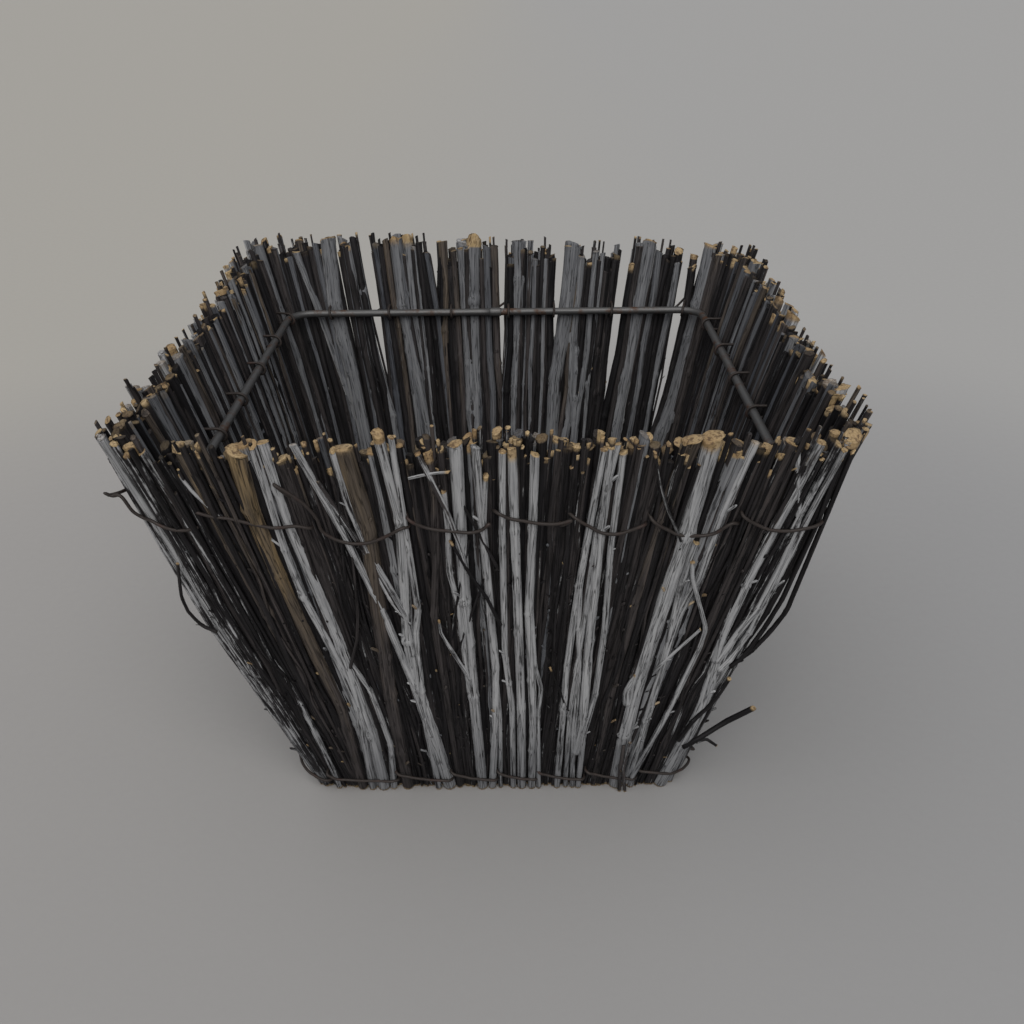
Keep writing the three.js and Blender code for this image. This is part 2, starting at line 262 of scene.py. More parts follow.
def frame_rod(z, name, *nodes, crossed=False):
    skin = Skin()
    stations = [np.linspace(weld_station, weld_station + 0.5, 12, endpoint=False)]
    for corner in (5, 7, 9, 11):
        stations.append(np.linspace(corner, corner + 1, 13))
        stations.append(np.linspace(corner + 1, corner + 2, 24)[1:-1])
    stations = np.concatenate(stations)
    stations = np.append(stations[stations < weld_station + 8], weld_station + 8 - weld_gap)
    stations[0] += weld_gap
    path = on_wall(z, rod_depth(z), stations)
    skin.tube(path, rod_radius, 16, (0, 0, 1))
    weld = on_wall(z, rod_depth(z), weld_station)
    bead = np.linspace(-1, 1, 15)
    swell = rod_radius + weld_height * np.sqrt(1 - bead**2) + weld_ripple * np.sin(bead * 23)
    skin.tube(weld + bead[:, None] * np.array([weld_length / 2, 0, 0]), swell, 16, (0, 0, 1))
    if crossed:
        reach = -on_wall(z, rod_depth(z), 0.5)[1] + fused_in
        x = np.linspace(-reach, reach, 40)
        skin.tube(np.stack([x, 0 * x, 0 * x + cross_rod_height], 1), rod_radius, 16, (0, 0, 1))
    return skin.make(name, steel, "frame_rod", *nodes)


steel = frame_steel()
frame_rod(upper_rod_height, "upper_frame", "upper_frame_rod")
frame_rod(lower_rod_height, "lower_frame_and_cross_rod", "lower_frame_rod", crossed=True)

# Pale bundles. Each is a handful of straight twigs 2 to 7 mm thick, brushed with whitewash that has
# dried in lengthwise streaks over the dark bark, with a few bare ones among them. They stand butt
# end up, snipped by hand, so their tan ends are a little spread. One stands at each corner.
chance = np.random.default_rng(27)
side_names = ("front", "right", "back", "left")
corner_names = ("front_left", "front_right", "back_right", "back_left")
pairs_on_side = (7, 6, 7, 6)

# How far round the rim each whole station is, from two before the front to two after the left.
whole_stations = np.arange(-2, 11)
lengths = [rim_corner * 2 if n % 2 else 2 * outline(basket_height)[0] for n in range(-2, 10)]
round_the_rim = np.cumsum([0, *lengths])


def cell(node):
    """The stations between which a bundle's solid stands, at its rim."""
    points = np.array([v.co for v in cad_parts[node].data.vertices])
    x, y, z = points[points[:, 2] > 0.9 * basket_height].T
    side = np.round(np.arctan2(x, -y) / (math.pi / 2))
    face = side * math.pi / 2
    along = x * np.cos(face) + y * np.sin(face)
    out = x * np.sin(face) - y * np.cos(face)
    run, radius = outline(z)
    past = np.maximum(np.abs(along) - run, 0)
    turn = np.arctan2(past, out - run) / (math.pi / 2)
    station = 2 * side + np.clip((along / run + 1) / 2, 0, 1) + np.sign(along) * turn
    middle = np.median(station)
    station = middle + (station - middle + 4) % 8 - 4
    station -= 8 * np.floor((station.min() + 1) / 8)
    return station.min(), station.max()


# The walls are not quite true. A post of sticks squares each corner off, the sticks splay out above
# the upper frame, and they are cut longest at the back left. The two rows of each pair are stations,
# and millimetres there. A bulge is in millimetres too, at these shares of the height. No stick's
# middle line passes furthest_out.
rim_splay = (
    (-0.5, 0.5, 1.5, 2.2, 2.6, 3.0, 3.5, 4.5, 5.5, 6.5),
    (1.0, 0.2, 0.8, 2.4, 3.7, 3.2, 1.4, 2.3, 1.8, 2.5),
)
rim_rise = (
    (0, 0.28, 0.36, 0.42, 0.54, 0.66, 1.5, 2.2, 2.6, 3, 3.5, 4.2, 4.5, 4.8, 5.6, 6.1, 6.6, 7.2),
    (0, 0, 2, 0.5, 2.5, 0.8, 0.3, 0.5, 2.5, 1, -1.5, -1.5, 1, 3.2, 3.4, 2.5, 1, 0.5),
)
furthest_out = rim_width / 2 + 4.8 * mm
bulge_heights = (0, 0.15, 0.5, 0.85, 1)
corner_bulge = {
    -0.5: (0, 0.5, 3.4, 4.4, 4.6),
    1.5: (0, 0.3, 1.5, 3, 3.4),
    3.5: (0, 1, 3, 4.5, 5.6),
    5.5: (0, 1, 3, 4.5, 5.6),
}


def splayed(spine, stations, bulged=1.0):
    """A spine on the true wall, moved to where the real wall is. bulged is how much of the corners'
    bulge it takes."""
    share = spine[:, 2] / basket_height
    splay = np.interp(stations, *rim_splay, period=8) * np.clip(share, 0, 1) ** 5
    for corner, bulge in corner_bulge.items():
        away = (stations - corner + 4) % 8 - 4
        near = np.clip(1 - (away / 0.8) ** 2, 0, 1)
        splay = splay + bulged * near * np.interp(share, bulge_heights, bulge)
    spine = spine + outwards_at(stations) * (splay * mm)[:, None]
    spine[:, :2] = np.clip(spine[:, :2], -furthest_out, furthest_out)
    return spine


# Light shows through the back where its sticks stand apart from some height up to the rim: the
# station, that height, and half the width of the gap at the rim, in millimetres.
back_gaps = (
    (3.83, 124, 1.2),
    (3.925, 70, 1.4),
    (4.16, 80, 1.2),
    (4.33, 108, 1.2),
    (4.485, 90, 1.4),
    (4.66, 126, 1.1),
    (4.835, 94, 1.9),
)


def parted(spine, stations, radius):
    """A stick of the back, kept clear of the gaps."""
    height = spine[:, 2] / mm
    at = stations[0] + (stations[1] - stations[0]) * spine[:, 2] / basket_height
    outwards = outwards_at(at)
    for gap, low, half_width in back_gaps:
        away = np.interp(at, whole_stations, round_the_rim) - np.interp(gap, whole_stations, round_the_rim)
        opened = np.clip((height - low) / (152 - low), 0, 1) ** 0.5
        near = np.clip(1 - np.abs(away) / (9 * mm), 0, 1)
        push = (half_width * mm * opened + radius * np.minimum(2 * opened, 1)) * near
        spine = spine + np.cross((0, 0, 1), outwards) * (push * np.sign(away[-1]))[:, None]
    return spine


def curve_through(knots, places):
    """A smooth curve through the knots, at these lengths along it."""
    at = np.concatenate([[0], np.cumsum(step_lengths(knots))])
    heading = np.gradient(knots, at, axis=0)
    n = np.clip(np.searchsorted(at, places, "right") - 1, 0, len(at) - 2)
    step = (at[n + 1] - at[n])[:, None]
    t = (places - at[n])[:, None] / step
    curve = (2 * t**3 - 3 * t**2 + 1) * knots[n] + (3 * t**2 - 2 * t**3) * knots[n + 1]
    return curve + (t**3 - 2 * t**2 + t) * step * heading[n] + (t**3 - t**2) * step * heading[n + 1]


def kinked_through(knots, places):
    """A line that turns only at the knots, a little rounded, as a twig does at its buds."""
    lengths = step_lengths(knots)
    at = np.concatenate([[-lengths[0], 0], np.cumsum(lengths), [lengths.sum() + lengths[-1]]])
    knots = np.concatenate([[2 * knots[0] - knots[1]], knots, [2 * knots[-1] - knots[-2]]])
    shifted = [places + shift * mm for shift in (-1.6, -0.6, 0.6, 1.6)]
    return np.mean([np.stack([np.interp(p, at, axis) for axis in knots.T], 1) for p in shifted], 0)


bud_spacing = 26 * mm
ring_spacing = 3.2 * mm


def nodes_along(spine, length, knobbly):
    """How far along a stick its nodes are: at the bends of its spine, and the others by chance."""
    nodes = chance.uniform(0.04, 0.95, max(1, int(length / bud_spacing * knobbly))) * length
    bends = np.cumsum(step_lengths(spine))[:-1]
    nodes[: len(bends)] = bends[: len(nodes)]
    return nodes


def ribbed(places, nodes, sides, reach):
    """How far a stick stands out round each of these places, as shares of its radius. Flat ribs wind
    round it, it is a little rough, and it swells to one side at its nodes."""
    turns = np.arange(sides) / sides * 2 * math.pi
    twist = chance.uniform(-25, 25) * places[:, None]
    ribs = 1 + 0.05 * np.sin(2 * turns + chance.uniform(0, 6) + twist)
    ribs += 0.04 * np.sin(3 * turns + chance.uniform(0, 6) - twist)
    ribs += chance.normal(0, 0.018, ribs.shape) + chance.normal(0, 0.02, len(places))[:, None]
    for node in nodes:
        swell = chance.uniform(0.05, 0.3) * np.exp(-(((places - node) / (0.5 * reach)) ** 2))
        ribs += swell[:, None] * (0.45 + 0.55 * np.cos(turns - chance.uniform(0, 6)))
    return ribs


def snipped_end(radius, sides):
    """The radii of the seven rings over a snipped end, where the bark is spread and torn a little."""
    spread = chance.uniform(-0.05, 0.15 - 0.05 * radius / mm)
    share = np.array([1, 1 + spread * 0.3, 1 + spread * 0.8, 1 + spread, 0.93 + spread, 0.6, 0.2])
    torn = np.array([0.3, 0.8, 1.4, 2.2, 2.2, 2, 0.8])[:, None]
    return radius * share[:, None] * (1 + chance.normal(0, 0.05, (7, sides)) * torn)


def stick(skin, spine, at_foot, at_butt, paint, tone, knobbly=1.0, budded=0.3, fresh=0.8):
    """One snipped stick, this thick at its foot and at its butt, that follows a spine. It swells at its
    nodes, where buds sat, and a share of them still hold one. fresh is the chance that a thin stick
    shows new wood at its cut."""
    spine = np.asarray(spine, float)
    length = step_lengths(spine).sum()
    mean_radius = (at_foot + at_butt) / 4
    sides = int(np.clip(round(mean_radius / mm * 4.5 + 2.5), 5, 16))
    number = chance.random()
    nodes = nodes_along(spine, length, knobbly)
    reach = mean_radius * 1.3 + 0.4 * mm
    near = (nodes[:, None] + np.array([-1, -0.45, 0, 0.45, 1]) * reach).ravel()
    step = ring_spacing + mean_radius
    butt = at_butt / 2
    cut = np.array([-2.2, -1.3, -0.6, -0.15, 0.03, 0.09, 0.11]) * (0.32 * mm + butt * 0.3)
    places = np.concatenate([np.arange(1.2 * mm, length, step), near, [length / 2]])
    places = np.sort(places[(places > 0.8 * mm) & (places < length + cut[0] - 0.3 * mm)])
    places = places[np.concatenate([[True], np.diff(places) > 0.25 * mm])]
    radius = (at_foot + (at_butt - at_foot) * places / length) / 2
    ribs = ribbed(places, nodes, sides, reach)
    foot = np.full((2, sides), at_foot) * [[0.38], [0.5]]
    radii = np.concatenate([foot, radius[:, None] * ribs, snipped_end(butt, sides) * ribs[-1]])
    places = np.concatenate([[0, 0.06 * mm], places, length + cut])
    centres = kinked_through(spine, places)
    tilt = np.zeros((len(places), 2))
    tilt[-6:] = chance.normal(0, 0.3, 2) * np.array([0.2, 0.6, 1, 1, 1, 1])[:, None]
    bare = np.zeros(len(places))
    bare[:2] = 0.9 if spine[0, 2] < 3 * mm else 0.3
    frayed = chance.random()
    snipped = 1 if chance.random() < fresh + 0.25 * (butt > 1.7 * mm) else chance.uniform(0.25, 0.5)
    bare[-7:] = np.array([frayed**3, frayed**1.5, frayed, 0.8, 0.95, 1, 1]) * snipped
    # Painted shade: the tone darkens towards the foot, which gets less light from above under the
    # outward-leaning wall.
    shade_towards_foot = np.interp(centres[:, 2] / basket_height, (0, 0.85), (0.55, 1))
    finish = np.stack([np.full(len(bare), paint), tone * shade_towards_foot, bare, 0 * bare + number], 1)
    across = unit(np.array([-spine[0, 1], spine[0, 0], 0]))
    skin.tube(centres, radii, sides, across, finish, tilt)
    for node in nodes[chance.random(len(nodes)) < budded]:
        bud(skin, spine, node, mean_radius, paint, tone)


def bud(skin, spine, node, radius, paint, tone):
    """The stub of a side twig, or a bud, at a node of a stick."""
    root, ahead = kinked_through(spine, np.array([node, node + 1 * mm]))
    along = unit(ahead - root)
    outwards = unit(root * (1, 1, 0))
    sideways = np.cross(along, outwards)
    lean = chance.uniform(-1.2, 1.2)
    away = outwards * math.cos(lean) + sideways * math.sin(lean)
    thickness = min(radius * chance.uniform(0.3, 0.55), 0.6 * mm)
    reach = radius + chance.uniform(0.5, 1) * (0.7 * mm + radius * 0.8)
    share = np.array([0, 0.55, 0.9, 1.0])[:, None]
    centres = root + (along * chance.uniform(0.8, 1.6) + away) * share * reach
    finish = (paint, tone, chance.choice([0, 0.6], p=[0.92, 0.08]), chance.random())
    skin.tube(centres, thickness * np.array([1.15, 0.85, 0.75, 0.35]), 5, sideways, finish)


def leaning(stations, depths, foot, top, bend):
    """The spine of a stick between its stations and depths at the foot and the rim."""
    low = on_wall(0, depths[0], stations[0])
    high = on_wall(basket_height, depths[1], stations[1])
    share = np.linspace(foot, top, 8) / basket_height
    share[1:-1] += chance.uniform(-0.06, 0.06, 6)
    spine = low + (high - low) * share[:, None]
    at = stations[0] + (stations[1] - stations[0]) * share
    spine = splayed(spine, at, np.clip(1.2 - depths[0] / wall_thickness, 0.2, 1))
    outwards = outwards_at(at)
    sideways = np.cross((0, 0, 1), outwards)
    ease = np.array([0.3, 1, 1, 1, 1, 0.8, 0.5, 0.6])[:, None]
    spine += sideways * chance.normal(0, bend, (8, 1)) * ease
    return spine + outwards * np.clip(chance.normal(0, bend * 0.45, (8, 1)), -bend, bend * 0.6) * ease


def on_side(side, points, width, depth):
    """A spine that passes these places on a side: how far along it from its middle, and how high. The
    stick or wire is this wide, and lies this deep behind the outside. Places and depth are in
    millimetres."""
    x, z = np.array(points, float).T * mm
    run, radius = outline(z)
    past = np.maximum(np.abs(x) - run, 0)
    turn = np.minimum(past / radius, 1)
    stations = 0.5 + np.sign(x) * (np.minimum(np.abs(x) / run, 1) / 2 + turn)
    inset = width / 2 + depth * mm
    x = np.sign(x) * (np.minimum(np.abs(x), run) + past - turn * inset)
    squareness = 2 + 2 * np.clip(z / basket_height * 3, 0, 1)
    y = -run - (radius - inset) * (1 - np.minimum(turn, 0.9) ** squareness) ** (1 / squareness)
    face = side * math.pi / 2
    turned = x * math.cos(face) - y * math.sin(face), x * math.sin(face) + y * math.cos(face), z
    return splayed(np.stack(turned, 1), stations + 2 * side, 0)


# How many of the cuts show new wood on each side, next to the front.
new_cuts = {"front": 1, "right": 0.7, "back": 0.3, "left": 0.6}


def scatter(
    skin, stations, count, widths, depths, paints, tones, bend,
    top_gap=(0, 5), gather=0.0, stray=0.16, fresh=0.8, spill=0.0,
):
    """Sticks side by side between two stations, with widths, bend, top_gap and spill in millimetres and
    depths as shares of the wall. They spill over the stations, gather at the foot, and stray from
    their places at the rim. top_gap is how far short of the rim they end. A count of 0 closes the
    wall."""
    start, end = np.interp(stations, whole_stations, round_the_rim) + np.array([-1, 1]) * spill * mm
    fresh = fresh * new_cuts[side_names[int(stations[0] % 8 // 2)]]
    count = count or math.ceil((end - start) / (2.3 * mm))
    places = (np.arange(count) + chance.uniform(0.1, 0.9, count)) / count
    for place in places:
        width = chance.uniform(*widths) * mm
        rim_place = np.clip(place + chance.normal(0, stray), 0, 1)
        foot_place = np.clip(0.5 + (place - 0.5) * (1 - gather) + chance.normal(0, stray / 3), 0.03, 0.97)
        depth = chance.uniform(*depths)
        low = max(wall_thickness * depth, width * 0.42)
        high = max(wall_thickness * thicker_at_rim * depth, width * 0.5)
        at = start + (end - start) * np.array([foot_place, rim_place])
        at = np.interp(at, round_the_rim, whole_stations)
        rise = np.interp(at[1], *rim_rise, period=8)
        edge = 4 * abs(2 * rim_place - 1) ** 4
        top = basket_height + min(rise - chance.uniform(*top_gap) - edge * chance.random(), 3.7) * mm
        spine = leaning(at, (low, high), chance.uniform(0, 1.2) * mm, top, bend * mm)
        spine = parted(spine, at, width / 2)
        paint, tone = chance.uniform(*paints), chance.uniform(*tones)
        stick(skin, spine, width * chance.uniform(0.75, 0.95), width * 1.05, paint, tone, fresh=fresh)


def bare_bark(recipe, shade, fibres):
    """From near black to brown as the shade goes from 0 to 1, and darker between its fibres."""
    ramp = recipe.node("ValToRGB", {"Fac": shade})
    steps = ramp.node.color_ramp.elements
    steps[0].color = (0.005, 0.0045, 0.0055, 1)
    steps[1].color = (0.22, 0.155, 0.08, 1)
    steps.new(0.3).color = (0.0165, 0.0147, 0.0157, 1)
    steps.new(0.6).color = (0.055, 0.0475, 0.0465, 1)
    steps.new(0.85).color = (0.102, 0.080, 0.058, 1)
    darker = recipe.between(fibres, 0.3, 0.62, 0.45, 1.25)
    return recipe.node("VectorMath", {0: ramp, "Scale": darker}, operation="SCALE")


def whitewash(recipe, grain, paint, patches, fibres):
    """Chalk in streaks, thinned to a blue grey where the paint is over 1: a thinner wash, darkened with
    painted shade of the basket's inside. The side that faces into the basket always takes that blue grey as
    painted shade, and near the foot the chalk is darkened towards it as painted shade too."""
    chalk = recipe.mix(patches, (0.31, 0.313, 0.323), (0.50, 0.502, 0.506))
    chalk = recipe.mix(recipe.between(fibres, 0.38, 0.66, 0, 0.75), chalk, (0.165, 0.167, 0.175))
    # Painted shade on the side of each stick that faces into the basket.
    facing_in_shade = recipe.between(recipe.node("SeparateXYZ", {"Vector": grain}, "Y"), 0, 1 * mm, 0, 0.62)
    above_ground = recipe.node("SeparateXYZ", {"Vector": recipe.node("TexCoord", {}, "Object")}, "Z")
    # Painted shade near the foot.
    shade_near_foot = recipe.between(above_ground, 6 * mm, 52 * mm, 0.5, 0)
    # The chalk goes to a dark blue grey: a thinner wash where the paint is over 1, and painted shade.
    thin_wash_and_shade = recipe.maths("MAXIMUM", recipe.between(paint, 1, 2.4), facing_in_shade)
    thin_wash_and_shade = recipe.maths("MAXIMUM", thin_wash_and_shade, shade_near_foot)
    return recipe.mix(thin_wash_and_shade, chalk, (0.052, 0.056, 0.067))


def cut_wood(recipe, grain, patches, flecks):
    """Tan wood with growth rings round the middle of the stick, stained in patches and flecks."""
    across = recipe.node("VectorMath", {0: recipe.stretched(grain, 1, 1, 0)}, "Value", operation="LENGTH")
    ring_noise = recipe.maths("MULTIPLY_ADD", flecks, 0.0009, across)
    rings = recipe.between(recipe.maths("SINE", recipe.maths("MULTIPLY", ring_noise, 9000.0)), -1, 1)
    wood = recipe.mix(rings, (0.39, 0.285, 0.15), (0.50, 0.375, 0.22))
    wood = recipe.mix(recipe.between(patches, 0.35, 0.7, 0, 0.8), wood, (0.27, 0.172, 0.085))
    return recipe.mix(recipe.between(flecks, 0.48, 0.64, 0, 0.8), wood, (0.10, 0.062, 0.038))


def bark(name):
    """Bark with cracks, whitewash on it, and bare wood where it is cut. Paint up to 1 is how much of
    the whitewash is left, and the rest has worn off."""
    recipe = Recipe(name, Specular_IOR_Level=0.2)
    grain = recipe.attribute("grain")
    split = recipe.node("SeparateColor", {"Color": recipe.attribute("finish", "Color")}).node
    paint, tone, bare = split.outputs["Red"], split.outputs["Green"], split.outputs["Blue"]
    number = recipe.maths("MULTIPLY", recipe.attribute("finish", "Alpha"), 60.0)
    lengthwise = recipe.stretched(grain, 1, 1, 0.045)
    fibres = recipe.noise(lengthwise, 1500, 5, 0.6, number)
    broad = recipe.noise(recipe.stretched(grain, 1, 1, 0.12), 420, 3, 0.5, number)
    flecks = recipe.noise(grain, 900, 4, 0.6, number)
    patches = recipe.noise(grain, 75, 3, 0.55, number)
    shade = recipe.maths("ADD", tone, recipe.maths("MULTIPLY_ADD", broad, 0.5, -0.25), clamp=True)
    worn = recipe.maths("MULTIPLY_ADD", patches, 0.4, recipe.maths("MULTIPLY_ADD", flecks, 0.2, fibres))
    bound = recipe.maths("MULTIPLY_ADD", recipe.maths("MINIMUM", paint, 1.1), 0.5, 0.36)
    kept = recipe.maths("SUBTRACT", bound, recipe.maths("SUBTRACT", worn, 0.1))
    covered = recipe.between(kept, -0.06, 0.08)
    from_crack = recipe.maths("SUBTRACT", recipe.noise(lengthwise, 900, 2, 0.5, number), 0.5)
    cracks = recipe.between(recipe.maths("ABSOLUTE", from_crack), 0.0, 0.035, 0.3, 1)
    chalk = whitewash(recipe, grain, paint, patches, fibres)
    colour = recipe.mix(covered, bare_bark(recipe, shade, fibres), chalk)
    colour = recipe.node("VectorMath", {0: colour, "Scale": cracks}, operation="SCALE")
    wood = cut_wood(recipe, grain, patches, flecks)
    colour = recipe.mix(recipe.between(bare, 0.25, 0.75), colour, wood)
    roughness = recipe.between(covered, 0, 1, 0.62, 0.88)
    height = recipe.maths("MULTIPLY_ADD", covered, 0.3, recipe.maths("MULTIPLY_ADD", flecks, 0.4, fibres))
    height = recipe.maths("MULTIPLY_ADD", cracks, 0.5, height)
    return recipe.finish(colour, roughness, height, 0.25 * mm)


white_bark = bark("whitewashed_bark")

